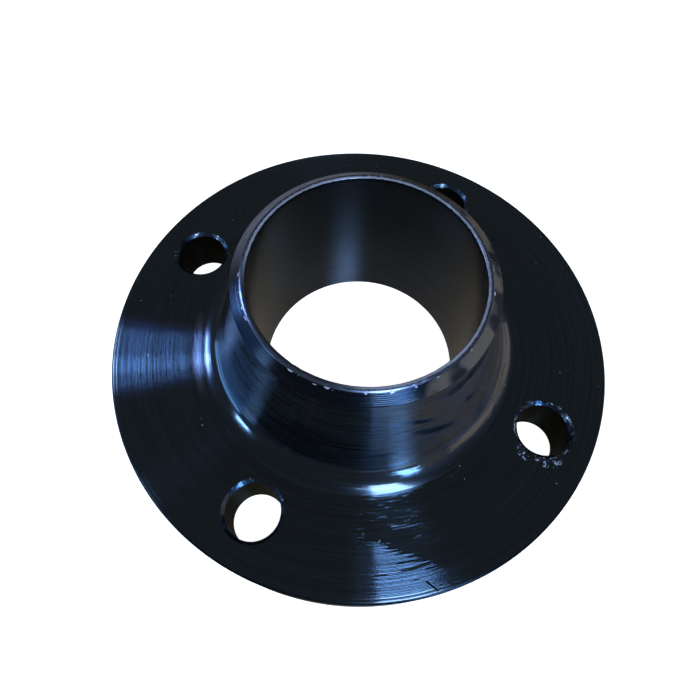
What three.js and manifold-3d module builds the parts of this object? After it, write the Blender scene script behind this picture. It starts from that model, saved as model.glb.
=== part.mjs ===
// Weld neck flange, NPS 3, Class 150, raised face, bored for schedule 40 pipe.
//
// The flange is one forging, turned all over and drilled: a round plate with a raised gasket
// face below, a tapered hub that rises from the plate through a fillet, and a short straight
// neck that ends in a bevel for the butt weld to the pipe.
//
// Frame, in millimetres: the origin is the middle of the gasket face, +Z is the pipe axis and
// runs from the gasket face to the weld end, and the four bolt holes straddle the X and Y axes.

import * as THREE from 'three';
import { mergeVertices } from 'three/addons/utils/BufferGeometryUtils.js';
import Module from 'manifold-3d';

// Plate and gasket face.
const PLATE_DIAMETER = 190.5;
const PLATE_TOP_Z = 23.9;
const RAISED_FACE_DIAMETER = 127.0;
const RAISED_FACE_HEIGHT = 1.6;
const RIM_EDGE_RADIUS = 1.5;

// Hub and neck.
const HUB_BASE_DIAMETER = 108.0;
const HUB_FILLET_RADIUS = 8.0;
const NECK_DIAMETER = 88.9;
const NECK_STRAIGHT_LENGTH = 6.0;
const NECK_BLEND_RADIUS = 12.0;
const OVERALL_HEIGHT = 69.85;

// Bore and weld bevel.
const BORE_DIAMETER = 77.9;
const BEVEL_ANGLE = THREE.MathUtils.degToRad(37.5);
const BEVEL_LAND = 1.6;

// Bolt holes.
const BOLT_CIRCLE_DIAMETER = 152.4;
const BOLT_HOLE_DIAMETER = 19.05;
const BOLT_HOLE_TOP_CHAMFER = 1.2;
const BOLT_HOLE_BOTTOM_CHAMFER = 0.5;
const BOLT_HOLE_COUNT = 4;
const FIRST_BOLT_HOLE_ANGLE = Math.PI / 4;

// How finely the round shapes are divided.
const TURNED_SEGMENTS = 96;
const HOLE_SEGMENTS = 32;
const RIM_EDGE_STEPS = 2;
const FILLET_STEPS = 5;
const NECK_BLEND_STEPS = 2;

// Drills reach this far past both faces of the plate.
const DRILL_OVERRUN = 2.0;

const wasm = await Module();
wasm.setup();

// Points of an arc, both ends included, from angle start to angle end.
function arcPoints(centreRadius, centreZ, radius, start, end, steps) {
  const points = [];
  for (let i = 0; i <= steps; i += 1) {
    const angle = start + ((end - start) * i) / steps;
    const x = centreRadius + radius * Math.cos(angle);
    const z = centreZ + radius * Math.sin(angle);
    points.push(new THREE.Vector2(x, z));
  }
  return points;
}

// The arc that rounds the corner between two straight stretches, tangent to both.
function cornerArc(before, corner, after, radius, steps) {
  const incoming = before.clone().sub(corner).normalize();
  const outgoing = after.clone().sub(corner).normalize();
  const halfAngle = Math.acos(THREE.MathUtils.clamp(incoming.dot(outgoing), -1, 1)) / 2;
  const toTangent = radius / Math.tan(halfAngle);
  const toCentre = radius / Math.sin(halfAngle);
  const bisector = incoming.clone().add(outgoing).normalize();
  const centre = corner.clone().addScaledVector(bisector, toCentre);
  const first = corner.clone().addScaledVector(incoming, toTangent).sub(centre);
  const last = corner.clone().addScaledVector(outgoing, toTangent).sub(centre);
  const start = first.angle();
  let sweep = last.angle() - start;
  if (sweep > Math.PI) {
    sweep -= 2 * Math.PI;
  }
  if (sweep < -Math.PI) {
    sweep += 2 * Math.PI;
  }
  return arcPoints(centre.x, centre.y, radius, start, start + sweep, steps);
}

// Half section of the turned blank: x is the distance from the pipe axis, y is the height.
function turnedProfile() {
  const boreRadius = BORE_DIAMETER / 2;
  const faceRadius = RAISED_FACE_DIAMETER / 2;
  const plateRadius = PLATE_DIAMETER / 2;
  const hubRadius = HUB_BASE_DIAMETER / 2;
  const neckRadius = NECK_DIAMETER / 2;
  const landRadius = boreRadius + BEVEL_LAND;
  const bevelDrop = (neckRadius - landRadius) * Math.tan(BEVEL_ANGLE);
  const bevelZ = OVERALL_HEIGHT - bevelDrop;

  const faceEdge = new THREE.Vector2(faceRadius, RAISED_FACE_HEIGHT);
  const rimBottom = new THREE.Vector2(plateRadius, RAISED_FACE_HEIGHT);
  const rimTop = new THREE.Vector2(plateRadius, PLATE_TOP_Z);
  const hubFoot = new THREE.Vector2(hubRadius, PLATE_TOP_Z);
  const hubTop = new THREE.Vector2(neckRadius, bevelZ - NECK_STRAIGHT_LENGTH);
  const bevelEdge = new THREE.Vector2(neckRadius, bevelZ);

  return [
    new THREE.Vector2(boreRadius, 0),
    new THREE.Vector2(faceRadius, 0),
    faceEdge,
    ...cornerArc(faceEdge, rimBottom, rimTop, RIM_EDGE_RADIUS, RIM_EDGE_STEPS),
    ...cornerArc(rimBottom, rimTop, hubFoot, RIM_EDGE_RADIUS, RIM_EDGE_STEPS),
    ...cornerArc(rimTop, hubFoot, hubTop, HUB_FILLET_RADIUS, FILLET_STEPS),
    ...cornerArc(hubFoot, hubTop, bevelEdge, NECK_BLEND_RADIUS, NECK_BLEND_STEPS),
    bevelEdge,
    new THREE.Vector2(landRadius, OVERALL_HEIGHT),
    new THREE.Vector2(boreRadius, OVERALL_HEIGHT),
    new THREE.Vector2(boreRadius, 0),
  ];
}

// Half section of the drill that makes one bolt hole and chamfers its two mouths at 45 degrees.
function drillProfile() {
  const holeRadius = BOLT_HOLE_DIAMETER / 2;
  const bottomRadius = holeRadius + BOLT_HOLE_BOTTOM_CHAMFER + DRILL_OVERRUN;
  const topRadius = holeRadius + BOLT_HOLE_TOP_CHAMFER + DRILL_OVERRUN;
  const bottomZ = RAISED_FACE_HEIGHT - DRILL_OVERRUN;
  const topZ = PLATE_TOP_Z + DRILL_OVERRUN;
  return [
    new THREE.Vector2(0, bottomZ),
    new THREE.Vector2(bottomRadius, bottomZ),
    new THREE.Vector2(holeRadius, RAISED_FACE_HEIGHT + BOLT_HOLE_BOTTOM_CHAMFER),
    new THREE.Vector2(holeRadius, PLATE_TOP_Z - BOLT_HOLE_TOP_CHAMFER),
    new THREE.Vector2(topRadius, topZ),
    new THREE.Vector2(0, topZ),
  ];
}

// A closed solid of revolution about +Z.
function revolve(profile, segments) {
  const geometry = new THREE.LatheGeometry(profile, segments);
  geometry.rotateX(Math.PI / 2);
  return geometry;
}

function toManifold(geometry) {
  const bare = geometry.clone();
  bare.deleteAttribute('normal');
  bare.deleteAttribute('uv');
  const merged = mergeVertices(bare, 1e-4);
  const mesh = new wasm.Mesh({
    numProp: 3,
    vertProperties: new Float32Array(merged.attributes.position.array),
    triVerts: new Uint32Array(merged.index.array),
  });
  return new wasm.Manifold(mesh);
}

function toGeometry(solid) {
  const mesh = solid.getMesh();
  const geometry = new THREE.BufferGeometry();
  const positions = new Float32Array(mesh.vertProperties);
  geometry.setAttribute('position', new THREE.BufferAttribute(positions, 3));
  geometry.setIndex(new THREE.BufferAttribute(new Uint32Array(mesh.triVerts), 1));
  geometry.computeVertexNormals();
  return geometry;
}

// The forging: the turned blank with its bolt holes drilled.
function flangeForging() {
  let solid = toManifold(revolve(turnedProfile(), TURNED_SEGMENTS));
  for (let i = 0; i < BOLT_HOLE_COUNT; i += 1) {
    const angle = FIRST_BOLT_HOLE_ANGLE + (i * 2 * Math.PI) / BOLT_HOLE_COUNT;
    const drill = revolve(drillProfile(), HOLE_SEGMENTS);
    const x = (BOLT_CIRCLE_DIAMETER / 2) * Math.cos(angle);
    const y = (BOLT_CIRCLE_DIAMETER / 2) * Math.sin(angle);
    drill.translate(x, y, 0);
    solid = solid.subtract(toManifold(drill));
  }
  return toGeometry(solid);
}

const blackenedSteel = new THREE.MeshStandardMaterial({
  name: 'blackened_steel',
  color: 0x14181f,
  roughness: 0.3,
  metalness: 0.8,
});

const forging = new THREE.Mesh(flangeForging(), blackenedSteel);
forging.name = 'flange_forging';

const flange = new THREE.Group();
flange.name = 'weld_neck_flange';
flange.add(forging);

export default flange;
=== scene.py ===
"""Weld neck flange: the visual model, its finishes, and a plain studio round it.

The object is one forging, so there is one piece. A fine half section is swept round the pipe
axis, four bolt holes with uneven chamfers and a nick are cut out of it, and each kind of surface
gets its own procedural finish: a thin glossy black coat over steel with the lathe's lines in it.

The shape's lengths are in millimetres, and MM turns them into metres. The finishes work in
metres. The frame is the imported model's: +Z is the pipe axis, the gasket face lies at z = 0, and
azimuths run from +X.
"""

import math

import bmesh
import bpy
from mathutils import Matrix, Vector, noise


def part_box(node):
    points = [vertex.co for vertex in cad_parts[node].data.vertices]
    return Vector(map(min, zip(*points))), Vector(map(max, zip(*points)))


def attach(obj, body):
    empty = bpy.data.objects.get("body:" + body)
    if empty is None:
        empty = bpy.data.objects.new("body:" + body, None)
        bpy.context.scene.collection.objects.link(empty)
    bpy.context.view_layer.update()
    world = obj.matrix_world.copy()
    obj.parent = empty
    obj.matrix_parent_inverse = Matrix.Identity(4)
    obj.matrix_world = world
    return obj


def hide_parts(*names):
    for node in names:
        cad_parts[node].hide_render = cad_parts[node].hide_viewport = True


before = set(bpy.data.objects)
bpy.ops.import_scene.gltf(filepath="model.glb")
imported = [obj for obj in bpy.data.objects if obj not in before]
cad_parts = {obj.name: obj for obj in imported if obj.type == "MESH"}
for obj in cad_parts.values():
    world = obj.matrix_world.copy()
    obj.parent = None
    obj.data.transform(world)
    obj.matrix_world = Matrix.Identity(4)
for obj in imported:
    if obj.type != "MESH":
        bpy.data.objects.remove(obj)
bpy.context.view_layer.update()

MM = 0.001
NODE = "flange_forging"

_, NODE_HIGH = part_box(NODE)

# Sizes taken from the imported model.
PLATE_R = NODE_HIGH.x / MM
TOP_Z = NODE_HIGH.z / MM

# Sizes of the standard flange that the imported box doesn't give.
PLATE_Z = 23.9
FACE_R = 63.5
FACE_Z = 1.6
HUB_R = 54.0
NECK_R = 44.45
BORE_R = 38.95
LAND = 1.6
BEVEL_ANGLE = math.radians(37.5)
BOLT_CIRCLE_R = 76.2
HOLE_R = 9.525
HOLE_ANGLES = [math.radians(45 + 90 * i) for i in range(4)]
HOLE_OFFSET = BOLT_CIRCLE_R * math.sqrt(0.5)

# Estimated sizes: the fillet from plate to hub, and the neck with its blend into the hub.
FILLET_R = 12.0
NECK_STRAIGHT = 6.0
NECK_BLEND_R = 14.0

# Broken and rounded edges. The bevel's own points stop short of the land, by BEVEL_STOP of the
# land's outer radius.
EDGE_BREAK = 0.35
RIM_EDGE_R = 1.1
LAND_OUTER_R = 1.6
LAND_INNER_R = 0.45
BEVEL_STOP = 0.4

# A fine line turned inside the plate's edge, and the share of its depth at its outer side.
RIM_BAND = 2.0
RIM_LINE_WIDTH = 0.36
RIM_LINE_DEPTH = 0.06
RIM_LINE_SHARE = 0.1

# Where the plate's own points start and end: this far from the line and from the fillet.
PLATE_ROWS_START = 1.0
PLATE_ROWS_END = 1.4

# The shallow dip where the tool ran out at the foot of the fillet, and how soon it falls away.
DIP_WIDTH = 2.4
DIP_DEPTH = 0.10
DIP_START = 0.15

# The shallow line turned round the neck under the bevel.
LIP_DROP = 1.0
LIP_WIDTH = 0.35
LIP_DEPTH = 0.12

# The gasket face's serrations.
SERRATION_PITCH = 0.8
SERRATION_DEPTH = 0.06
SERRATION_MARGIN = 1.2

# How finely the half section and its sweep are divided: points round an arc, and the greatest
# step along a straight stretch.
SEGMENTS = 336
RIM_ARC_STEPS = 5
FILLET_ARC_STEPS = 44
BLEND_ARC_STEPS = 5
BEVEL_ARC_STEPS = 3
LAND_ARC_STEPS = 8
BORE_ARC_STEPS = 4
UNDERSIDE_STEP = 4.0
RIM_STEP = 3.0
PLATE_STEP = 2.0
HUB_STEP = 0.5
BEVEL_STEP = 0.7
BORE_STEP = 2.0
HOLE_STEP = 3.0


# ---------------------------------------------------------------------------
# Half section of the turned body, as (radius, height) points in millimetres
# ---------------------------------------------------------------------------

def arc(centre, radius, start, end, steps):
    """Points of an arc, both ends included; angles in degrees."""
    points = []
    for i in range(steps + 1):
        angle = math.radians(start + (end - start) * i / steps)
        points.append((centre[0] + radius * math.cos(angle), centre[1] + radius * math.sin(angle)))
    return points


def rounded_corner(before, corner, after, radius, steps):
    """The arc that rounds a corner between two straight stretches."""
    a = (Vector(before) - Vector(corner)).normalized()
    b = (Vector(after) - Vector(corner)).normalized()
    half = a.angle(b) / 2
    centre = Vector(corner) + (a + b).normalized() * (radius / math.sin(half))
    first = Vector(corner) + a * (radius / math.tan(half)) - centre
    last = Vector(corner) + b * (radius / math.tan(half)) - centre
    start = math.degrees(math.atan2(first.y, first.x))
    sweep = math.degrees(math.atan2(last.y, last.x)) - start
    sweep = (sweep + 180) % 360 - 180
    return arc(centre, radius, start, start + sweep, steps)


def line(start, end, step):
    """Points along a straight stretch, both ends left out."""
    count = max(1, round((Vector(end) - Vector(start)).length / step))
    return [tuple(Vector(start).lerp(Vector(end), i / count)) for i in range(1, count)]


def bevel_foot_z():
    """The height at which the bevel meets the neck."""
    return TOP_Z - (NECK_R - BORE_R - LAND) * math.tan(BEVEL_ANGLE)


def gasket_face_points():
    """The raised face, from the bore out to its edge, cut by fine round serrations."""
    points = [(BORE_R + EDGE_BREAK, 0.0)]
    r = BORE_R + SERRATION_MARGIN
    while r + SERRATION_PITCH < FACE_R - SERRATION_MARGIN:
        points.append((r, 0.0))
        points.append((r + SERRATION_PITCH / 2, SERRATION_DEPTH))
        r += SERRATION_PITCH
    points.append((r, 0.0))
    points.append((FACE_R - EDGE_BREAK, 0.0))
    points.append((FACE_R, EDGE_BREAK))
    return points


def rim_points():
    """Underside of the plate, the rim, and the fine line inside its top edge."""
    band_r = PLATE_R - RIM_BAND
    foot, low, high = (FACE_R, FACE_Z), (PLATE_R, FACE_Z), (PLATE_R, PLATE_Z)
    bottom = rounded_corner(foot, low, high, RIM_EDGE_R, RIM_ARC_STEPS)
    top = rounded_corner(low, high, (band_r, PLATE_Z), RIM_EDGE_R, RIM_ARC_STEPS)
    return [
        foot,
        (FACE_R + EDGE_BREAK, FACE_Z),
        *line(foot, (PLATE_R - RIM_EDGE_R, FACE_Z), UNDERSIDE_STEP),
        *bottom,
        *line(bottom[-1], top[0], RIM_STEP),
        *top,
        (band_r + RIM_LINE_WIDTH, PLATE_Z - RIM_LINE_DEPTH * RIM_LINE_SHARE),
        (band_r + RIM_LINE_WIDTH / 2, PLATE_Z - RIM_LINE_DEPTH),
        (band_r, PLATE_Z),
        (band_r - RIM_LINE_WIDTH / 2, PLATE_Z),
    ]


def hub_points():
    """Fillet, tapered hub and straight neck, with the dip at the foot of the fillet and the line
    under the bevel."""
    bevel_z = bevel_foot_z()
    foot = (HUB_R, PLATE_Z)
    shoulder = (NECK_R, bevel_z - NECK_STRAIGHT)
    fillet = rounded_corner((PLATE_R, PLATE_Z), foot, shoulder, FILLET_R, FILLET_ARC_STEPS)
    start = fillet[0][0]
    dip = [(start + DIP_WIDTH, PLATE_Z), (start + DIP_START, PLATE_Z - DIP_DEPTH)]
    last = len(fillet) - 1
    fillet = [(r, z - DIP_DEPTH * (1 - i / last)) for i, (r, z) in enumerate(fillet)]
    blend = rounded_corner(foot, shoulder, (NECK_R, bevel_z), NECK_BLEND_R, BLEND_ARC_STEPS)
    lip = [
        (NECK_R, bevel_z - LIP_DROP - LIP_WIDTH),
        (NECK_R - LIP_DEPTH, bevel_z - LIP_DROP),
        (NECK_R, bevel_z - LIP_DROP + LIP_WIDTH),
    ]
    taper = line(fillet[-1], blend[0], HUB_STEP)
    neck = line(blend[-1], lip[0], HUB_STEP)
    return [*dip, *fillet, *taper, *blend, *neck, *lip]


def weld_end_points():
    """Bevel, land and the top edge of the bore."""
    edge_r = BORE_R + LAND
    outer, inner, bore = (NECK_R, bevel_foot_z()), (edge_r, TOP_Z), (BORE_R, TOP_Z)
    bevel_end = edge_r + LAND_OUTER_R * BEVEL_STOP
    return [
        *rounded_corner((NECK_R, FACE_Z), outer, inner, EDGE_BREAK, BEVEL_ARC_STEPS),
        *[point for point in line(outer, inner, BEVEL_STEP) if point[0] > bevel_end],
        *rounded_corner(outer, inner, bore, LAND_OUTER_R, LAND_ARC_STEPS),
        *rounded_corner(inner, bore, (BORE_R, 0), LAND_INNER_R, BORE_ARC_STEPS),
    ]


def body_profile():
    """The whole half section, as a closed loop."""
    plate_start = PLATE_R - RIM_BAND - PLATE_ROWS_START
    plate_end = HUB_R + FILLET_R + PLATE_ROWS_END
    return [
        *gasket_face_points(),
        *rim_points(),
        *line((plate_start, PLATE_Z), (plate_end, PLATE_Z), PLATE_STEP),
        *hub_points(),
        *weld_end_points(),
        *line((BORE_R, TOP_Z), (BORE_R, 0), BORE_STEP),
        (BORE_R, EDGE_BREAK),
    ]


# ---------------------------------------------------------------------------
# Solids
# ---------------------------------------------------------------------------

def link(name, data):
    """A new object of the scene that holds the data."""
    thing = bpy.data.objects.new(name, data)
    bpy.context.scene.collection.objects.link(thing)
    return thing


def revolve(name, rings, closed_loop=True):
    """A solid from rings of points, given as Vectors in millimetres. The last ring joins the
    first, or, where closed_loop is off, the first and last rings are capped."""
    mesh = bmesh.new()
    rows = [[mesh.verts.new(point * MM) for point in points] for points in rings]
    pairs = list(zip(rows, rows[1:]))
    if closed_loop:
        pairs.append((rows[-1], rows[0]))
    for low, high in pairs:
        count = len(low)
        for j in range(count):
            k = (j + 1) % count
            mesh.faces.new((low[j], low[k], high[k], high[j]))
    if not closed_loop:
        mesh.faces.new(reversed(rows[0]))
        mesh.faces.new(rows[-1])
    bmesh.ops.recalc_face_normals(mesh, faces=mesh.faces)
    data = bpy.data.meshes.new(name)
    mesh.to_mesh(data)
    mesh.free()
    return link(name, data)


def ring(radius, height, segments):
    """Points of a level circle about the Z axis."""
    turn = 2 * math.pi / segments
    return [
        Vector((radius * math.cos(j * turn), radius * math.sin(j * turn), height))
        for j in range(segments)
    ]


def outward(point):
    """The level direction from the Z axis to a point."""
    return Vector((point.x, point.y, 0)).normalized()


# Chips in the land: how deep and how wide they are, the noise level at which they start, how far
# above it they are full, the seeds of the land's two edges, and how far from the land they reach.
CHIP_DEPTH = 0.10
CHIP_SIZE = 2.2
CHIP_LEVEL = 0.22
CHIP_RISE = 0.4
INNER_EDGE_SEED = 3.0
OUTER_EDGE_SEED = 9.0
CHIPS_UNDER_TOP = 0.5
CHIPS_PAST_LAND = 0.1

# Marks of the turning tool: the wander of each pass, the low ridge where two passes of the fillet
# meet, and a ring of chatter above it. Sizes are in millimetres, and lobes are how often a mark
# changes round the axis.
WANDER_DEPTH = 0.010
WANDER_PITCH = 1.5
WANDER_LOBES = 2.5
RIDGE_R = 57.0
RIDGE_WIDTH = 1.2
RIDGE_HEIGHT = 0.05
RIDGE_SHARE = 0.75
RIDGE_LOBES = 1.3
CHATTER_Z = 33.2
CHATTER_WIDTH = 0.9
CHATTER_DEPTH = 0.05
CHATTER_SIZE = 0.7

# Where those marks may lie: above the plate, outside the bore, and this far under the top.
MARKS_ABOVE_PLATE = 0.05
MARKS_OUTSIDE_BORE = 1.0
MARKS_UNDER_TOP = 4.0


def chip_land(points, inner):
    """Chips in the narrow land of the weld end; those on its inner edge open into the bore."""
    seed = Vector((INNER_EDGE_SEED if inner else OUTER_EDGE_SEED, 0, 0))
    for p in points:
        level = noise.noise(p / CHIP_SIZE + seed)
        depth = CHIP_DEPTH * max(0.0, level - CHIP_LEVEL) / CHIP_RISE
        p.z -= depth
        if inner:
            p += outward(p) * depth


def mark_hub(points, radius, height):
    """Marks of the turning tool on one ring of the fillet and hub."""
    ridge = RIDGE_HEIGHT * max(0.0, 1 - abs(radius - RIDGE_R) / RIDGE_WIDTH)
    chatter = CHATTER_DEPTH * max(0.0, 1 - abs(height - CHATTER_Z) / CHATTER_WIDTH)
    for p in points:
        out = outward(p)
        along = Vector((out.x * WANDER_LOBES, out.y * WANDER_LOBES, height / WANDER_PITCH))
        move = noise.noise(along) * WANDER_DEPTH
        if chatter:
            move += noise.noise(p / CHATTER_SIZE) * chatter
        p += out * move
        p.z += ridge * (RIDGE_SHARE + noise.noise(out * RIDGE_LOBES))


def turned_body():
    """The swept half section, with its marks, before the holes are drilled."""
    rings = []
    for radius, height in body_profile():
        points = ring(radius, height, SEGMENTS)
        land_width = BORE_R < radius < BORE_R + LAND + CHIPS_PAST_LAND
        hub_height = PLATE_Z + MARKS_ABOVE_PLATE < height < TOP_Z - MARKS_UNDER_TOP
        if land_width and height > TOP_Z - CHIPS_UNDER_TOP:
            chip_land(points, radius < BORE_R + LAND / 2)
        elif hub_height and radius > BORE_R + MARKS_OUTSIDE_BORE:
            mark_hub(points, radius, height)
        rings.append(points)
    return revolve("flange_body", rings)


HOLE_SEGMENTS = 120
TOP_CHAMFER = 1.2
BOTTOM_CHAMFER = 0.5
DRILL_OVERRUN = 1.5
CHAMFER_RINGS = 6

# Unevenness of the upper chamfers: its size for each hole, then a slow wave and a fine grain in
# it, and its share where the chamfer starts.
HOLE_UNEVENNESS = [0.16, 0.14, 0.16, 0.42]
WAVE_SHARE = 1.2
WAVE_SIZE = 7.0
GRAIN_SIZE = 0.9
SHARE_AT_FOOT = 0.15
HOLE_SEED = 11.0
WAVE_SEED = 5.0
GRAIN_SEED = 7.0


def drill_profile():
    """Half section of the solid that cuts a bolt hole, from below the plate to above it."""
    chamfer_z = PLATE_Z - TOP_CHAMFER
    growth = [TOP_CHAMFER * i / CHAMFER_RINGS for i in range(CHAMFER_RINGS + 1)]
    return [
        (HOLE_R + BOTTOM_CHAMFER + DRILL_OVERRUN, FACE_Z - DRILL_OVERRUN),
        (HOLE_R, FACE_Z + BOTTOM_CHAMFER),
        *line((HOLE_R, FACE_Z), (HOLE_R, chamfer_z), HOLE_STEP),
        *[(HOLE_R + grow, chamfer_z + grow) for grow in growth],
        (HOLE_R + TOP_CHAMFER + DRILL_OVERRUN, PLATE_Z + DRILL_OVERRUN),
    ]


def drill(index):
    """The solid that cuts one bolt hole. Its upper chamfer is uneven, as a hand tool leaves it."""
    size = HOLE_UNEVENNESS[index]
    wave_seed = Vector((HOLE_SEED * index, WAVE_SEED, 0))
    grain_seed = Vector((HOLE_SEED * index, 0, GRAIN_SEED))
    rings = []
    for radius, height in drill_profile():
        points = ring(radius, height, HOLE_SEGMENTS)
        share = (height - PLATE_Z + TOP_CHAMFER) / TOP_CHAMFER + SHARE_AT_FOOT
        if share > 0.0:
            for p in points:
                wave = noise.noise(p / WAVE_SIZE + wave_seed) * size * WAVE_SHARE
                grain = noise.noise(p / GRAIN_SIZE + grain_seed) * size
                p += outward(p) * (wave + grain) * min(1.0, share)
        rings.append(points)
    cutter = revolve(f"drill_{index}", rings, closed_loop=False)
    angle = HOLE_ANGLES[index]
    cutter.location = Vector((math.cos(angle), math.sin(angle), 0)) * BOLT_CIRCLE_R * MM
    return cutter


NICK_RADIUS = 92.3
NICK_AZIMUTH = math.radians(-91.8)
NICK_LENGTH = 5.0
NICK_WIDTH = 0.7
NICK_DEPTH = 0.4
NICK_SKEW = math.radians(40)


def nick():
    """The solid that cuts a short, straight nick near the plate's edge. Its section is twice as
    tall and wide as the cut, with the plate's face at half its height."""
    section = [(-NICK_WIDTH, NICK_DEPTH), (0.0, -NICK_DEPTH), (NICK_WIDTH, NICK_DEPTH)]
    ends = [-NICK_LENGTH / 2, NICK_LENGTH / 2]
    rings = [[Vector((end, y, z)) for y, z in section] for end in ends]
    cutter = revolve("nick", rings, closed_loop=False)
    out = Vector((math.cos(NICK_AZIMUTH), math.sin(NICK_AZIMUTH), 0))
    cutter.location = (out * NICK_RADIUS + Vector((0, 0, PLATE_Z))) * MM
    cutter.rotation_euler = (0, 0, NICK_AZIMUTH + NICK_SKEW)
    return cutter


def cut(body, cutters):
    """Takes the cutters out of the body, and removes them."""
    for cutter in cutters:
        step = body.modifiers.new("cut", "BOOLEAN")
        step.operation = "DIFFERENCE"
        step.solver = "EXACT"
        step.object = cutter
    bpy.context.view_layer.update()
    graph = bpy.context.evaluated_depsgraph_get()
    result = bpy.data.meshes.new_from_object(body.evaluated_get(graph))
    body.modifiers.clear()
    old = body.data
    body.data = result
    bpy.data.meshes.remove(old)
    for cutter in cutters:
        bpy.data.meshes.remove(cutter.data)


SHARP_ANGLE = math.radians(32)
SAME_POINT = 1e-7


def shade(body):
    """Smooth faces with sharp edges kept."""
    mesh = bmesh.new()
    mesh.from_mesh(body.data)
    bmesh.ops.remove_doubles(mesh, verts=mesh.verts, dist=SAME_POINT)
    for face in mesh.faces:
        face.smooth = True
    for edge in mesh.edges:
        edge.smooth = len(edge.link_faces) == 2 and edge.calc_face_angle(0) < SHARP_ANGLE
    mesh.to_mesh(body.data)
    mesh.free()


# ---------------------------------------------------------------------------
# Finishes
# ---------------------------------------------------------------------------

class Shader:
    """A few short calls that build a node tree."""

    def __init__(self, name):
        self.material = bpy.data.materials.new(name)
        self.material.use_nodes = True
        self.tree = self.material.node_tree
        self.surface = self.tree.nodes["Principled BSDF"]

    def node(self, kind, inputs=None, **settings):
        made = self.tree.nodes.new(kind)
        for key, value in settings.items():
            setattr(made, key, value)
        for key, value in (inputs or {}).items():
            self.plug(made.inputs[key], value)
        return made

    def plug(self, socket, value):
        """Links a socket to another, or sets it to a number or colour."""
        if isinstance(value, bpy.types.NodeSocket):
            self.tree.links.new(value, socket)
        else:
            socket.default_value = value

    def set_surface(self, values):
        """Links or sets the surface's inputs, given by name."""
        for name, value in values.items():
            self.plug(self.surface.inputs[name], value)

    def math(self, operation, *values):
        made = self.node("ShaderNodeMath", operation=operation)
        for socket, value in zip(made.inputs, values):
            self.plug(socket, value)
        return made.outputs[0]

    def fold(self, operation, values):
        result = values[0]
        for value in values[1:]:
            result = self.math(operation, result, value)
        return result

    def add(self, *values):
        return self.fold("ADD", values)

    def times(self, *values):
        return self.fold("MULTIPLY", values)

    def largest(self, *values):
        return self.fold("MAXIMUM", values)

    def length(self, a, b):
        """The length of a plan vector."""
        return self.math("SQRT", self.add(self.times(a, a), self.times(b, b)))

    def ease(self, value, low, high):
        """0 below low, 1 above high, and a smooth rise between; low may be the larger."""
        made = self.node("ShaderNodeMapRange", interpolation_type="SMOOTHSTEP")
        for key, number in (("Value", value), ("From Min", low), ("From Max", high)):
            self.plug(made.inputs[key], number)
        return made.outputs["Result"]

    def near(self, value, centre, width):
        """1 where value is centre, falling to 0 a width away."""
        away = self.math("ABSOLUTE", self.math("SUBTRACT", value, centre))
        return self.ease(away, width, 0.0)

    def noise(self, vector, scale, detail=2.0, roughness=0.5, w=None):
        made = self.node("ShaderNodeTexNoise", noise_dimensions="4D" if w is not None else "3D")
        self.plug(made.inputs["Vector"], vector)
        if w is not None:
            self.plug(made.inputs["W"], w)
        made.inputs["Scale"].default_value = scale
        made.inputs["Detail"].default_value = detail
        made.inputs["Roughness"].default_value = roughness
        return made.outputs["Fac"]

    def blend(self, factor, a, b):
        """Mixes two colours."""
        made = self.node("ShaderNodeMix", data_type="RGBA")
        for key, value in ((0, factor), (6, a), (7, b)):
            self.plug(made.inputs[key], value)
        return made.outputs[2]

    def between(self, factor, a, b):
        """Mixes two numbers."""
        made = self.node("ShaderNodeMix", data_type="FLOAT")
        for key, value in ((0, factor), (2, a), (3, b)):
            self.plug(made.inputs[key], value)
        return made.outputs[0]


# The tool's groove: how many turns its spacing drifts over and by how much, and the slow beat in
# its depth.
DRIFT_SPAN = 12
DRIFT_TURNS = 4.0
BEAT_PITCH = 0.78 * MM
BEAT_DEPTH = 0.17

# How many clusters of dust there are to a metre, and how rough the noise in rings is.
CLUSTER_SCALE = 38.0
RING_ROUGHNESS = 0.6


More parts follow.
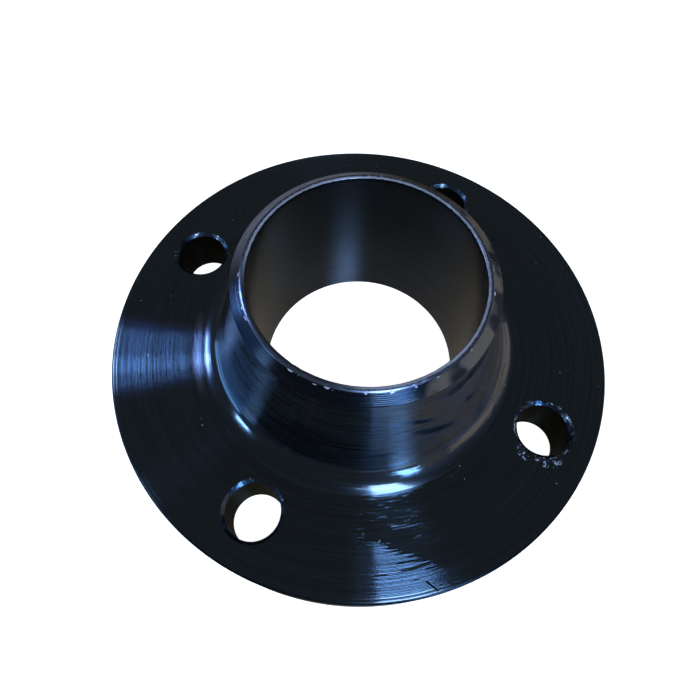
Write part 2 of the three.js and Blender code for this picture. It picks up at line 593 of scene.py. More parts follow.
class Turned(Shader):
    """A shader that knows where it is on the flange, in metres from the pipe axis."""

    def __init__(self, name):
        super().__init__(name)
        self.place = self.node("ShaderNodeTexCoord").outputs["Object"]
        split = self.node("ShaderNodeSeparateXYZ", {"Vector": self.place})
        self.x, self.y, self.z = split.outputs
        self.r = self.length(self.x, self.y)
        self.cos = self.math("DIVIDE", self.x, self.r)
        self.sin = self.math("DIVIDE", self.y, self.r)
        self.turn = self.math("ARCTAN2", self.y, self.x)
        self.flat = self.pair(self.x, self.y)
        self.wall = self.pair(self.times(self.turn, HUB_R * MM), self.z)
        dx = self.math("SUBTRACT", self.math("ABSOLUTE", self.x), HOLE_OFFSET * MM)
        dy = self.math("SUBTRACT", self.math("ABSOLUTE", self.y), HOLE_OFFSET * MM)
        self.from_hole = self.length(dx, dy)

    def pair(self, a, b):
        return self.node("ShaderNodeCombineXYZ", {"X": a, "Y": b}).outputs[0]

    def vector_math(self, operation, *values):
        made = self.node("ShaderNodeVectorMath", operation=operation)
        for socket, value in zip(made.inputs, values):
            self.plug(socket, value)
        return made.outputs[0]

    def facing(self, azimuth):
        """1 on the side at this azimuth, falling to -1 on the side opposite."""
        east = self.times(self.cos, math.cos(azimuth))
        north = self.times(self.sin, math.sin(azimuth))
        return self.add(east, north)

    def grooved(self, across, feed, slope):
        """The normal in the tool's groove: tipped across the groove, one way then the other, from
        one side of each turn to its other side."""
        normal = self.node("ShaderNodeNewGeometry").outputs["Normal"]
        backward = self.times(self.sin, -1.0)
        along = self.node("ShaderNodeCombineXYZ", {"X": backward, "Y": self.cos}).outputs[0]
        tip = self.vector_math("CROSS_PRODUCT", along, normal)
        place = self.pair(self.times(across, 1 / (DRIFT_SPAN * feed)), 0.0)
        drift = self.times(self.noise(place, 1.0, 1.0), DRIFT_TURNS)
        turn = self.math("FRACT", self.add(self.times(across, 1 / feed), drift))
        beat = self.math("SINE", self.times(across, 2 * math.pi / BEAT_PITCH))
        swing = self.times(slope, self.add(self.times(beat, BEAT_DEPTH), 1.0))
        tilt = self.times(self.add(self.times(turn, 2.0), -1.0), swing)
        scaled = self.node("ShaderNodeVectorMath", {0: tip, "Scale": tilt}, operation="SCALE")
        return self.vector_math("NORMALIZE", self.vector_math("ADD", normal, scaled.outputs[0]))

    def dots(self, skin, per_metre, share, radius):
        """Small round spots, one in some cells of a grid over the skin, in loose clusters."""
        cells = self.node(
            "ShaderNodeTexVoronoi", {"Vector": skin, "Scale": per_metre}, voronoi_dimensions="2D"
        )
        lot = self.node("ShaderNodeSeparateXYZ", {"Vector": cells.outputs["Color"]}).outputs
        cluster = self.patches(scale=CLUSTER_SCALE, low=0.42, high=0.60, detail=1.0)
        keep = self.math("LESS_THAN", lot[0], self.times(cluster, share))
        size = self.times(self.add(lot[1], 0.5), radius * per_metre)
        away = self.math("DIVIDE", cells.outputs["Distance"], size)
        return self.times(self.ease(away, 1.2, 0.7), keep)

    def rings(self, pitch, around, detail=1.0):
        """Noise in rings about the pipe axis. pitch is in metres; around is how often the rings
        break up in one turn."""
        place = {
            "X": self.times(self.r, 1 / pitch),
            "Y": self.times(self.z, 1 / pitch),
            "Z": self.times(self.cos, around),
        }
        vector = self.node("ShaderNodeCombineXYZ", place).outputs[0]
        return self.noise(vector, 1.0, detail, RING_ROUGHNESS, w=self.times(self.sin, around))

    def bands(self, pitch, around, low, high, detail=1.0):
        """Rings of noise as a mask: 0 where they are below low, and 1 where above high."""
        return self.ease(self.rings(pitch, around, detail), low, high)

    def patches(self, scale, low, high, detail=2.0, roughness=0.5):
        """Noise in the solid as such a mask. scale is how many patches there are to a metre."""
        return self.ease(self.noise(self.place, scale, detail, roughness), low, high)


BLACK_COAT = (0.030, 0.046, 0.078, 1)
# Painted highlight: the light violet colour laid where a highlight is painted on.
PAINTED_HIGHLIGHT_COLOUR = (0.165, 0.190, 0.320, 1)
HUB_COAT = (0.046, 0.072, 0.122, 1)
BEVEL_COAT = (0.024, 0.034, 0.060, 1)
# Painted shade: a much darker colour for the rim's corner and wall.
RIM_PAINTED_SHADE = (0.012, 0.016, 0.027, 1)
BORE_COAT = (0.037, 0.050, 0.088, 1)
# Painted shade: the darker colour of the bore's upper part.
BORE_PAINTED_SHADE = (0.014, 0.026, 0.047, 1)
# Painted shade: a darker, grey colour for the walls inside the bolt holes.
HOLE_PAINTED_SHADE = (0.011, 0.012, 0.012, 1)
WORN_STEEL = (0.48, 0.50, 0.60, 1)
# Dull steel: bare metal on the land, and the colour of the painted sheen on one side of the bevel.
DULL_STEEL_AND_PAINTED_SHEEN = (0.56, 0.49, 0.60, 1)
PALE_SCALE = (0.42, 0.48, 0.68, 1)
DUST = (0.36, 0.38, 0.42, 1)
HAZE = (0.041, 0.028, 0.021, 1)
PALE_DIRT = (0.106, 0.080, 0.068, 1)

# The coat is lighter and darker than its colour in fine lines, by these shares.
LIGHT_SHARE = 1.25
DARK_SHARE = 0.73
LINE_TINT_PITCH = 0.24 * MM

# Unevenness of the turning: broad bands beside the lines, scratches round the axis, a slope that
# differs from groove to groove, and what bands and mottle add to the roughness.
BROAD_PITCHES = 6
BROAD_SHARE = 2.0
SCRATCH_PITCH = 0.35 * MM
SCRATCH_DEPTH = 2.5e-6
SHALLOW_GROOVE = 0.75
STEEP_GROOVE = 1.15
BROAD_ROUGHNESS = 0.03
MOTTLE_ROUGHNESS = 0.02
MEAN_ROUGHNESS = 0.02

# Oil fills the grooves, and leaves this share of the unevenness and of the grooves' slope.
FILM_ROUGHNESS = 0.09
FILM_UNEVENNESS = 0.25
FILM_SLOPE = 0.1

# Dust: its grid, the share of cells that hold a speck, and the specks' size.
DUST_PER_METRE = 260.0
DUST_SHARE = 0.045
DUST_RADIUS = 0.15 * MM
DUST_ROUGHNESS = 0.6

# Lumps of crust to a metre, and the turn of the anisotropy to the lathe's lines.
CRUST_SCALE = 150.0
QUARTER_TURN = 0.25


def turned_finish(name, colour=BLACK_COAT, roughness=0.2, anisotropy=1.0, coat=1.0,
                  coat_roughness=0.08, glancing=1.0,
                  line_height=4.0e-6, line_pitch=0.9 * MM,
                  feed=0.38 * MM, steepness=0.0, upright=False,
                  specks=1.0, film=None, haze=None, dirt_colour=HAZE, crust=0.0,
                  wear_and_painted_light=None, wear_and_painted_light_colour=WORN_STEEL, wear_and_painted_light_roughness=0.34, wear_and_painted_light_metallic=1.0, painted_highlight=None):
    """Thin black coat on turned steel.

    glancing is the brightness of the reflection at the shallowest angles. line_height and
    line_pitch describe the unevenness from turn to turn, feed the width of one turn of the tool's
    groove, and steepness the slope of its sides. upright is for walls, where the grooves lie one
    above another. specks is how much dust there is. film, haze, wear_and_painted_light and
    painted_highlight give masks: oil that fills the grooves; dry dirt of dirt_colour in lumps as
    high as crust; bare metal, and also painted shade and painted sheen, with the
    wear_and_painted_light settings; and a painted highlight in a light violet colour.
    """
    s = Turned(name)
    fine = s.rings(line_pitch, around=1.6)
    broad = s.rings(line_pitch * BROAD_PITCHES, around=1.0)
    mottle = s.noise(s.place, scale=90.0, detail=4.0, roughness=0.6)
    scratch = s.bands(pitch=SCRATCH_PITCH, around=26.0, low=0.70, high=0.78, detail=0.0)

    height = s.add(s.times(fine, line_height), s.times(broad, line_height * BROAD_SHARE))
    uneven = s.add(s.times(broad, BROAD_ROUGHNESS), s.times(mottle, MOTTLE_ROUGHNESS))
    rough = s.add(roughness - MEAN_ROUGHNESS, uneven)
    slope = s.times(s.between(fine, SHALLOW_GROOVE, STEEP_GROOVE), steepness)
    if film is not None:
        oil = film(s)
        height = s.times(height, s.between(oil, 1.0, FILM_UNEVENNESS))
        slope = s.times(slope, s.between(oil, 1.0, FILM_SLOPE))
        rough = s.between(oil, rough, FILM_ROUGHNESS)
    height = s.add(height, s.times(scratch, -SCRATCH_DEPTH))

    light, dark = [(*(c * share for c in colour[:3]), 1) for share in (LIGHT_SHARE, DARK_SHARE)]
    tint = s.bands(pitch=LINE_TINT_PITCH, around=2.0, low=0.40, high=0.60, detail=0.0)
    base = s.blend(tint, light, dark)
    metal = 1.0
    # Painted highlight, where a finish gives its mask.
    if painted_highlight is not None:
        base = s.blend(painted_highlight(s), base, PAINTED_HIGHLIGHT_COLOUR)
    if specks:
        skin = s.wall if upright else s.flat
        dot = s.dots(skin, DUST_PER_METRE, DUST_SHARE * specks, DUST_RADIUS)
        base = s.blend(dot, base, DUST)
        rough = s.between(dot, rough, DUST_ROUGHNESS)
        metal = s.between(dot, metal, 0.0)
    if haze is not None:
        dirt = haze(s)
        base = s.blend(dirt, base, dirt_colour)
        metal = s.between(dirt, metal, 0.0)
        if crust:
            lumps = s.noise(s.place, CRUST_SCALE)
            height = s.add(height, s.times(dirt, lumps, crust))
    # Bare metal, and also painted shade and painted sheen, laid over the coat by the same mask.
    if wear_and_painted_light is not None:
        mask = wear_and_painted_light(s)
        base = s.blend(mask, base, wear_and_painted_light_colour)
        metal = s.between(mask, metal, wear_and_painted_light_metallic)
        rough = s.between(mask, rough, wear_and_painted_light_roughness)

    bump = s.node("ShaderNodeBump", {"Height": height, "Strength": 1.0, "Distance": 1.0})
    if steepness:
        s.plug(bump.inputs["Normal"], s.grooved(s.z if upright else s.r, feed, slope))
    if crust:
        s.set_surface({"Coat Normal": bump.outputs[0]})
    tangent = s.node("ShaderNodeTangent", direction_type="RADIAL", axis="Z")
    s.set_surface({
        "Base Color": base,
        "Roughness": rough,
        "Metallic": metal,
        "Normal": bump.outputs[0],
        "Tangent": tangent.outputs[0],
        "Anisotropic": anisotropy,
        "Anisotropic Rotation": QUARTER_TURN,
        "Coat Weight": coat,
        "Coat Roughness": coat_roughness,
        "Specular Tint": (glancing, glancing, glancing, 1),
    })
    return s.material


# ---------------------------------------------------------------------------
# Masks of oil, dirt and wear, and of painted shade, sheen and highlights
# ---------------------------------------------------------------------------

# Where an oil smear crosses the plate: its two ends as (radius mm, azimuth degrees), its half
# width, and how far its edges stray along the lathe's lines.
SMEAR_FROM = (71.0, -106.0)
SMEAR_TO = (86.0, -87.5)
SMEAR_WIDTH = 3.4 * MM
SMEAR_FADE = 0.3 * MM
SMEAR_STRAY = 14.0 * MM
VEIL_START = 2.0 * MM

# Strokes of a rag in the wet oil: from (azimuth degrees, radius mm) to (azimuth, radius), and the
# half width, on the plate; the same with heights on the hub.
PLATE_STROKES = (
    (-98.8, 86.1, -89.0, 85.4, 0.9),
    (-99.5, 83.5, -90.0, 83.7, 0.5),
    (-97.0, 81.8, -90.7, 82.4, 0.5),
)
HUB_STROKES = (
    (-88.0, 46.5, -67.5, 38.4, 3.0),
    (-90.0, 53.6, -78.0, 49.0, 1.9),
    (-74.0, 58.6, -42.0, 61.0, 4.2),
    (-62.0, 47.4, -57.0, 45.0, 2.2),
    (-55.0, 30.6, -46.0, 34.0, 3.2),
)
STROKE_STRENGTH = 0.85
STROKE_SHAKE_SCALE = 420.0
STROKE_SHAKE = 0.65
STROKE_FRAY = 0.5

# Where flakes are torn out beside the roughest bolt hole: the middle of the patch, its reach, and
# its ring round the hole.
FLAKES_X = 46.5 * MM
FLAKES_Y = -64.5 * MM
FLAKES_REACH = 10.5 * MM
FLAKES_FULL = 6.0 * MM
FLAKES_RING_R = 13.0 * MM
FLAKES_RING_WIDTH = 1.9 * MM
HOLE_WEAR_WIDTH = 0.8 * MM

# Sides of the flange: the hub's dirt, the pale patches on the bevel, the painted sheen on the
# bevel, the painted shade in the bore, the land's kept coat, and the painted highlight at the foot
# of the fillet.
HAZE_AZIMUTH = math.radians(-50)
PATCH_AZIMUTH = math.radians(-29)
PAINTED_SHEEN_AZIMUTH = math.radians(112)
BORE_SHADE_AZIMUTH = math.radians(89)
KEPT_AZIMUTH = math.radians(205)
FOOT_AZIMUTH = math.radians(172)

FOOT_R = 63.6 * MM
FOOT_WIDTH = 2.2 * MM
HAZE_BOTTOM = 24.2 * MM
HAZE_FULL = 27.0 * MM
# Heights over which the painted shade in the bore grows to full.
BORE_SHADE_BOTTOM = 12.0 * MM
BORE_SHADE_FULL = 50.0 * MM
WELD_EDGE_R = (BORE_R + LAND + 0.5) * MM
WELD_EDGE_WIDTH = 0.7 * MM
LAND_RAGGED = 0.9 * MM


def polar(radius, azimuth):
    """A point of the plate in metres, from millimetres and degrees."""
    angle = math.radians(azimuth)
    return Vector((radius * MM * math.cos(angle), radius * MM * math.sin(angle)))


def land_r(share):
    """The radius at a share of the land's width, from its inner edge."""
    return (BORE_R + LAND * share) * MM


def strokes(s, across, paths):
    """Soft-ended strokes round the axis. across is the radius or the height in which the paths
    are given."""
    shake = s.add(s.noise(s.place, STROKE_SHAKE_SCALE), -0.5)
    total = 0.0
    for start, start_mm, end, end_mm, width in paths:
        along = s.times(s.add(s.turn, -math.radians(start)), 1 / math.radians(end - start))
        path = s.add(s.times(along, (end_mm - start_mm) * MM), start_mm * MM)
        shaken = s.times(shake, width * STROKE_SHAKE * MM)
        away = s.add(s.math("SUBTRACT", across, path), shaken)
        body = s.ease(s.near(away, 0.0, width * MM), 0.02, 0.75)
        frayed = s.add(along, s.times(shake, STROKE_FRAY))
        ends = s.times(s.ease(frayed, -0.18, 0.30), s.ease(frayed, 1.18, 0.72))
        total = s.largest(total, s.times(body, ends))
    return s.times(total, STROKE_STRENGTH)


def plate_film(s):
    """Oil lying in the lathe's lines: one smear across the plate, a veil between it and the hub,
    a few short streaks, and the strokes of a rag. Its edges run along the lines."""
    start, end = polar(*SMEAR_FROM), polar(*SMEAR_TO)
    reach = (end - start).length
    along = (end - start).normalized()
    dx = s.math("SUBTRACT", s.x, start.x)
    dy = s.math("SUBTRACT", s.y, start.y)
    stray = s.times(s.add(s.rings(pitch=0.5 * MM, around=5.0), -0.5), SMEAR_STRAY)
    side = s.add(s.times(dx, -along.y), s.times(dy, along.x), stray)
    forward = s.add(s.times(dx, along.x), s.times(dy, along.y))
    from_middle = s.math("ABSOLUTE", s.math("SUBTRACT", forward, reach / 2))
    inside = s.ease(from_middle, reach / 2 * 1.25, reach / 2)
    from_line = s.math("ABSOLUTE", side)
    smear = s.times(s.ease(from_line, SMEAR_WIDTH + SMEAR_FADE, SMEAR_WIDTH), inside)
    streaks = s.bands(pitch=0.8 * MM, around=7.0, low=0.70, high=0.74)
    dry = s.bands(pitch=0.32 * MM, around=10.0, low=0.58, high=0.68)
    hub_side = s.times(s.ease(side, VEIL_START, SMEAR_WIDTH), s.ease(s.sin, -0.72, -0.88))
    veil = s.times(hub_side, s.between(dry, 0.76, 0.1))
    return s.largest(smear, strokes(s, s.r, PLATE_STROKES), streaks, veil)


def foot_painted_highlight(s):
    """Painted highlight: a brighter band at the foot of the fillet on one side, broken into lines.
    """
    side = s.ease(s.facing(FOOT_AZIMUTH), 0.955, 0.99)
    lines = s.between(s.rings(pitch=0.4 * MM, around=3.0), 0.5, 1.5)
    return s.times(s.near(s.r, FOOT_R, FOOT_WIDTH), side, lines)


def hub_film(s):
    """Oil in soft streaks round the hub, and in the strokes of a rag."""
    streaks = s.bands(pitch=1.8 * MM, around=2.5, low=0.50, high=0.60)
    return s.largest(s.times(streaks, 0.55), strokes(s, s.z, HUB_STROKES))


def hub_haze(s):
    """Dry dirt over one side of the hub, wiped into soft bands."""
    side = s.ease(s.facing(HAZE_AZIMUTH), 0.50, 0.88)
    bands = s.times(s.rings(pitch=2.5 * MM, around=2.0), 0.5)
    clouds = s.times(s.noise(s.place, scale=60.0, detail=3.0), 0.5)
    wiped = s.ease(s.add(bands, clouds), 0.12, 0.58)
    above = s.ease(s.z, HAZE_BOTTOM, HAZE_FULL)
    streaks = s.bands(pitch=1.6 * MM, around=2.2, low=0.52, high=0.68)
    clear = s.between(strokes(s, s.z, HUB_STROKES), 1.0, 0.0)
    return s.times(side, wiped, above, s.between(streaks, 1.0, 0.5), clear)


def bevel_haze(s):
    """Pale dry patches on one side of the bevel, above the hub's dirt."""
    side = s.ease(s.facing(PATCH_AZIMUTH), 0.35, 0.70)
    return s.times(side, s.between(s.patches(scale=75.0, low=0.44, high=0.56), 0.12, 1.0))


def bore_painted_shade(s):
    """Painted shade: the darker upper part of the bore, on the side away from the front of the
    hub.
    """
    side = s.ease(s.facing(BORE_SHADE_AZIMUTH), -0.3, 0.5)
    return s.times(side, s.ease(s.z, BORE_SHADE_BOTTOM, BORE_SHADE_FULL), 0.85)


def hole_edge_wear(s):
    """Bare metal round the mouths of the bolt holes: a few broken patches on three of them, and
    a rough rim with flakes torn out beside it on the fourth."""
    patch = s.noise(s.place, scale=260.0, detail=4.0, roughness=0.65)
    grain = s.patches(scale=1500.0, low=0.42, high=0.52, roughness=0.6)
    edge = s.near(s.from_hole, (HOLE_R + TOP_CHAMFER) * MM, HOLE_WEAR_WIDTH)
    rough_hole = s.times(s.ease(s.x, 0.0, 10.0 * MM), s.ease(s.y, 0.0, -10.0 * MM))
    level = s.between(rough_hole, 0.60, 0.50)
    glints = s.times(edge, s.ease(s.math("SUBTRACT", patch, level), 0.0, 0.06), grain)
    away = s.length(s.math("SUBTRACT", s.x, FLAKES_X), s.math("SUBTRACT", s.y, FLAKES_Y))
    ring_round = s.near(s.from_hole, FLAKES_RING_R, FLAKES_RING_WIDTH)
    beside = s.times(ring_round, s.ease(away, FLAKES_REACH, FLAKES_FULL))
    torn = s.patches(scale=900.0, low=0.52, high=0.58, roughness=0.6)
    flakes = s.times(s.ease(beside, 0.1, 0.5), torn, s.ease(patch, 0.42, 0.50))
    return s.largest(glints, flakes)


def hub_lines(s):
    """Thin lines round the hub where the coat is rubbed off the crests of the coarse turning."""
    crests = s.bands(pitch=0.5 * MM, around=6.0, low=0.66, high=0.76, detail=0.0)
    return s.times(crests, s.bands(pitch=5.0 * MM, around=2.0, low=0.48, high=0.58), 0.07)


def weld_edge_wear_and_painted_sheen(s):
    """Bare metal in a few specks along the upper edge of the bevel, and a painted sheen in rings
    on the side away from the dirt."""
    edge = s.ease(s.near(s.r, WELD_EDGE_R, WELD_EDGE_WIDTH), 0.2, 0.6)
    specks = s.times(edge, s.patches(scale=480.0, low=0.60, high=0.66))
    side = s.ease(s.facing(PAINTED_SHEEN_AZIMUTH), 0.45, 0.95)
    painted_sheen = s.times(side, s.between(s.rings(pitch=0.8 * MM, around=5.0), 0.40, 0.72))
    return s.largest(specks, painted_sheen)


def land_wear(s):
    """Dull steel on the flat of the land, ragged at its edges and fainter towards one side. The
    rounded outer edge keeps its coat."""
    grain = s.noise(s.place, scale=700.0, detail=3.0, roughness=0.6)
    across = s.add(s.r, s.times(s.add(grain, -0.5), LAND_RAGGED))
    outer = s.ease(across, land_r(0.72), land_r(0.55))
    inner = s.ease(across, land_r(0.02), land_r(0.15))
    kept = s.between(s.ease(s.facing(KEPT_AZIMUTH), 0.60, 0.90), 1.0, 0.12)
    broken = s.between(s.rings(pitch=1.0 * MM, around=6.0, detail=2.0), 0.45, 1.1)
    return s.times(outer, inner, kept, broken)


def land_edge_painted_highlight(s):
    """Painted highlight: a lighter line along the rounded outer edge of the land."""
    return s.ease(s.near(s.r, land_r(1.0), LAND * 0.6 * MM), 0.15, 0.5)


# ---------------------------------------------------------------------------
# Each surface's finish
# ---------------------------------------------------------------------------

# What each surface changes from the plain finish.
FINISHES = {
    # The plate carries a painted highlight at the foot of the fillet.
    "plate": dict(
        name="turned_plate", roughness=0.15, steepness=0.34, line_pitch=0.5 * MM,
        film=plate_film, wear_and_painted_light=hole_edge_wear, wear_and_painted_light_colour=PALE_SCALE, wear_and_painted_light_metallic=0.25,
        painted_highlight=foot_painted_highlight,
    ),
    # The rim's darker colour is painted shade on its corner and wall.
    "rim": dict(
        name="turned_rim", colour=RIM_PAINTED_SHADE, roughness=0.34, anisotropy=0.5, coat=0.1,
        coat_roughness=0.2, line_pitch=0.8 * MM, upright=True,
    ),
    "fillet": dict(
        name="turned_fillet", roughness=0.16, anisotropy=0.5, line_height=2.0e-6,
        line_pitch=1.1 * MM, haze=hub_haze, crust=0.26 * MM,
    ),
    "shoulder": dict(
        name="turned_shoulder", colour=HUB_COAT, roughness=0.22, coat=0.3,
        coat_roughness=0.2, feed=0.9 * MM, steepness=0.12, upright=True, film=hub_film,
        haze=hub_haze,
    ),
    "hub": dict(
        name="turned_hub", colour=HUB_COAT, roughness=0.22, coat=0.12, coat_roughness=0.2,
        line_height=8.0e-6, feed=0.9 * MM, steepness=0.5, upright=True, film=hub_film,
        haze=hub_haze, wear_and_painted_light=hub_lines,
    ),
    # The bevel carries a painted sheen on one side, beside specks of bare metal.
    "bevel": dict(
        name="weld_bevel", colour=BEVEL_COAT, anisotropy=0.8, coat=0.08, coat_roughness=0.2,
        glancing=0.5, line_height=6.0e-6, feed=0.5 * MM, steepness=0.40, haze=bevel_haze,
        dirt_colour=PALE_DIRT, wear_and_painted_light=weld_edge_wear_and_painted_sheen, wear_and_painted_light_colour=DULL_STEEL_AND_PAINTED_SHEEN, wear_and_painted_light_metallic=0.3,
    ),
    # The land's rounded outer edge carries a painted highlight.
    "land": dict(
        name="weld_land", roughness=0.26, anisotropy=0.4, coat=0.4, coat_roughness=0.15,
        specks=0.0, painted_highlight=land_edge_painted_highlight, wear_and_painted_light=land_wear, wear_and_painted_light_colour=DULL_STEEL_AND_PAINTED_SHEEN, wear_and_painted_light_roughness=0.4,
        wear_and_painted_light_metallic=0.3,
    ),
    # The bore's darker upper part is painted shade.
    "bore": dict(
        name="bored_wall", colour=BORE_COAT, roughness=0.26, anisotropy=0.6, coat=0.0,
        line_height=3.0e-6, line_pitch=1.5 * MM, specks=0.2, upright=True, wear_and_painted_light=bore_painted_shade,
        wear_and_painted_light_colour=BORE_PAINTED_SHADE, wear_and_painted_light_roughness=0.26,
    ),
    "chamfer": dict(
        name="bolt_hole_chamfer", roughness=0.30, anisotropy=0.0, coat=0.6,
        line_height=20.0e-6, line_pitch=0.5 * MM, specks=0.0, wear_and_painted_light=hole_edge_wear,
    ),
    # The bolt holes' darker colour and weaker glancing reflection are painted shade.
    "hole": dict(
        name="bolt_hole_wall", colour=HOLE_PAINTED_SHADE, roughness=0.5, anisotropy=0.0, coat=0.0,
        glancing=0.6, line_height=7.0e-6, line_pitch=0.4 * MM, specks=0.0,
        wear_and_painted_light=hole_edge_wear,
    ),
    "gasket": dict(name="gasket_face", roughness=0.3, anisotropy=0.7, line_pitch=0.3 * MM),
}

# Heights of a face's normal: nearly level, facing up, facing down, and turned from the level
# enough to belong to a hole or to the rim.
NEARLY_LEVEL = 0.985
FACES_UP = 0.3
FACES_DOWN = -0.9
TURNED_FOR_HOLE = 0.98
TURNED_FOR_RIM = 0.97

# How far past its edges each surface may reach, in millimetres.
HOLE_REACH = 0.9
BORE_REACH = 0.15
LAND_REACH = 0.4
LAND_FACE_DEPTH = 0.45
BEVEL_DEPTH = 3.2
FACE_REACH = 0.2
PLATE_EDGE = 5.0

# The fillet's smooth last cut reaches up to here; above it the surface is turned more coarsely,
# and more so from the shoulder up.
SMOOTH_FILLET_TOP = 27.8
SHOULDER_TOP = 31.5


def zone(centre, normal):
    """Which finish a face of the body takes, from where it is (millimetres) and faces."""
    r = math.hypot(centre.x, centre.y)
    from_hole = math.hypot(abs(centre.x) - HOLE_OFFSET, abs(centre.y) - HOLE_OFFSET)
    in_hole = from_hole < HOLE_R + TOP_CHAMFER + HOLE_REACH and centre.z < PLATE_Z
    if in_hole and abs(normal.z) < TURNED_FOR_HOLE:
        return "chamfer" if normal.z > FACES_UP else "hole"
    if r < BORE_R + BORE_REACH:
        return "bore"
    if normal.z > FACES_UP and centre.z > TOP_Z - BEVEL_DEPTH:
        on_land = centre.z > TOP_Z - LAND_FACE_DEPTH and r < BORE_R + LAND + LAND_REACH
        return "land" if on_land else "bevel"
    if centre.z < FACE_Z - FACE_REACH:
        return "gasket"
    if r > PLATE_R - RIM_EDGE_R and abs(normal.z) < TURNED_FOR_RIM:
        return "rim"
    if normal.z > NEARLY_LEVEL or normal.z < FACES_DOWN or r > PLATE_R - PLATE_EDGE:
        return "plate"
    if centre.z < SMOOTH_FILLET_TOP:
        return "fillet"
    return "shoulder" if centre.z < SHOULDER_TOP else "hub"


def paint(body):
    """Gives each face of the body the finish of its zone."""
    names = list(FINISHES)
    for name in names:
        body.data.materials.append(turned_finish(**FINISHES[name]))
    for face in body.data.polygons:
        face.material_index = names.index(zone(face.center / MM, face.normal))


def make_flange():
    body = turned_body()
    cut(body, [*(drill(i) for i in range(len(HOLE_ANGLES))), nick()])
    shade(body)
    paint(body)
    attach(body, "root")
    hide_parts(NODE)


# ---------------------------------------------------------------------------
# Studio: camera, floor, lights
# ---------------------------------------------------------------------------

# The camera stands in front of the flange and above it, turned to one side of the bolt holes.
# Its distances are in plate radii from the middle of the gasket face.
HEADING = math.radians(-20.9)
CAMERA_BACK = 1.0387
CAMERA_UP = 2.3618
CAMERA_PITCH = math.radians(27.18)
CAMERA_YAW = math.radians(0.54)
CAMERA_ROLL = math.radians(5.31)
CAMERA_LENS = 29.4
CAMERA_SENSOR = 36.0
CAMERA_SHIFT = (-0.0100, -0.0357)
CAMERA_CLIP = (0.01, 50.0)

VIEW = Matrix.Rotation(HEADING, 4, "Z")


def make_camera():
    """The scene's camera."""
    data = bpy.data.cameras.new("camera")
    data.sensor_width = CAMERA_SENSOR
    data.lens = CAMERA_LENS
    data.shift_x, data.shift_y = CAMERA_SHIFT
    data.clip_start, data.clip_end = CAMERA_CLIP
    reach = NODE_HIGH.x
    place = Matrix.Translation((0, -CAMERA_BACK * reach, CAMERA_UP * reach))
    turn = (
        Matrix.Rotation(CAMERA_PITCH, 4, "X")
        @ Matrix.Rotation(CAMERA_YAW, 4, "Y")
        @ Matrix.Rotation(CAMERA_ROLL, 4, "Z")
    )
    camera = link("camera", data)
    camera.matrix_world = VIEW @ place @ turn
    bpy.context.scene.camera = camera


# The stage, in metres. The floor lies just under the flange, and the bench just under the floor.
FLOOR_HALF = 6.0
FLOOR_Z = -0.0002
BENCH_Z = -0.0004
WALL_RADIUS = 5.5
WALL_HEIGHT = 5.0
WALL_SIDES = 48

FLOOR_COLOUR = (0.7, 0.7, 0.71, 1)
FLOOR_GLOW = (1.0, 1.0, 1.0, 1)
BENCH_COLOUR = (0.25, 0.215, 0.15, 1)


def stage_piece(name, corners, faces, surface):
    """A plain mesh of the stage, and its material."""
    data = bpy.data.meshes.new(name)
    data.from_pydata(corners, [], faces)
    data.materials.append(surface)
    return link(name, data)


def level_plane(name, z, surface):
    """A square of the stage at this height."""
    half = FLOOR_HALF
    corners = [(-half, -half, z), (half, -half, z), (half, half, z), (-half, half, z)]
    return stage_piece(name, corners, [(0, 1, 2, 3)], surface)


def wall_ring(name, surface):
    """An upright ring of wall round the stage."""
    corners, faces = [], []
    for i in range(WALL_SIDES):
        turn = 2 * math.pi * i / WALL_SIDES
        x, y = WALL_RADIUS * math.cos(turn), WALL_RADIUS * math.sin(turn)
        corners += [(x, y, -WALL_HEIGHT), (x, y, WALL_HEIGHT)]
        a, b = 2 * i, 2 * ((i + 1) % WALL_SIDES)
        faces.append((a, b, b + 1, a + 1))
    return stage_piece(name, corners, faces, surface)


def make_floor():
    """A pale floor and wall that the camera sees, and a darker bench top that only reflections
    see."""
    pale = Shader("pale_floor")
    pale.set_surface({
        "Base Color": FLOOR_COLOUR,
        "Roughness": 0.9,
        "Emission Color": FLOOR_GLOW,
        "Emission Strength": 1.0,
    })
    dark = Shader("dark_bench")
    dark.set_surface({
        "Base Color": BENCH_COLOUR,
        "Roughness": 0.3,
        "Coat Weight": 1.0,
        "Coat IOR": 2.3,
        "Coat Roughness": 0.2,
    })
    floor = level_plane("studio_floor", FLOOR_Z, pale.material)
    wall = wall_ring("studio_wall", pale.material)
    bench = level_plane("bench_reflection", BENCH_Z, dark.material)
    floor.visible_glossy = False
    wall.visible_glossy = False
    bench.visible_camera = False
    for thing in (wall, bench):
        thing.visible_diffuse = False
        thing.visible_shadow = False
        thing.visible_transmission = False


WINDOW = (0.50, 0.76, 1.0)
GLASS = (0.48, 0.76, 1.0)
SKY = (0.28, 0.54, 1.0)
DEEP_SKY = (0.22, 0.53, 1.0)
LOW_SKY = (0.22, 0.54, 1.0)
VIOLET_SKY = (0.32, 0.44, 1.05)
PALE_SKY = (0.46, 0.74, 1.0)
LAMP = (0.42, 0.70, 1.0)
WARM_CARD = (1.0, 0.85, 0.73)
AIR = (0.88, 1.0, 0.96, 1)
AIR_STRENGTH = 0.115

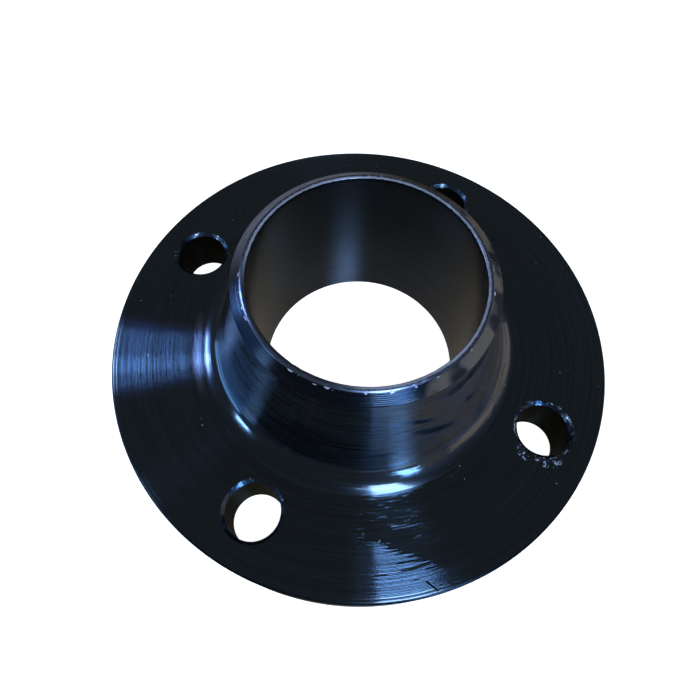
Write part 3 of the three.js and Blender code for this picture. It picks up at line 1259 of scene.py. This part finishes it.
# Rectangular lights that face the flange: name, azimuth and elevation in the camera's frame, and
# spin about its own axis, in degrees; distance, width and height in metres; how bright its face
# looks; colour.
LIGHTS = (
    ("front_high", -64.6, 58.5, -17.8, 0.80, 0.15, 0.40, 19.0, WINDOW),
    ("front_glint", -77, 56, 0, 0.80, 0.12, 0.02, 10.0, WINDOW),
    ("front_low", -60, 20, -30, 0.90, 0.13, 0.32, 27.0, DEEP_SKY),
    ("left_high", 164, 34, 20, 0.90, 0.23, 0.34, 3.0, VIOLET_SKY),
    ("left_mid", 163, 35, 20, 0.89, 0.15, 0.34, 1.7, SKY),
    ("left_core", 165.5, 36, 20, 0.88, 0.05, 0.34, 8.5, PALE_SKY),
    ("left_glint", 163, 37, 20, 0.87, 0.18, 0.12, 12.0, GLASS),
    ("left_low", 184, 5, 0, 0.90, 0.60, 0.12, 4.4, LOW_SKY),
    ("left_lamp", 206, 22, 0, 0.90, 0.14, 0.12, 20.0, LAMP),
    ("right_card", 0, 9, 0, 0.90, 1.20, 0.24, 0.64, WARM_CARD),
)


def area_light(name, azimuth, elevation, spin, distance, width, height, radiance, colour):
    """One row of LIGHTS."""
    data = bpy.data.lights.new(name, "AREA")
    data.shape = "RECTANGLE"
    data.size, data.size_y = width, height
    data.color = colour
    data.energy = radiance * math.pi * width * height
    a, e = math.radians(azimuth), math.radians(elevation)
    away = Vector((math.cos(a) * math.cos(e), math.sin(a) * math.cos(e), math.sin(e)))
    spot = VIEW.to_3x3() @ away
    roll = Matrix.Rotation(math.radians(spin), 3, "Z").to_quaternion()
    lamp = link(name, data)
    lamp.location = spot * distance + Vector((0, 0, PLATE_Z * MM))
    lamp.rotation_mode = "QUATERNION"
    lamp.rotation_quaternion = spot.to_track_quat("Z", "Y") @ roll


def make_lights():
    """The area lights, and a faint even light from all round."""
    for light in LIGHTS:
        area_light(*light)
    world = bpy.data.worlds.new("studio_air")
    world.use_nodes = True
    back = world.node_tree.nodes["Background"]
    back.inputs["Color"].default_value = AIR
    back.inputs["Strength"].default_value = AIR_STRENGTH
    bpy.context.scene.world = world


make_camera()
make_flange()
make_floor()
make_lights()
bpy.context.scene.view_settings.view_transform = "Standard"
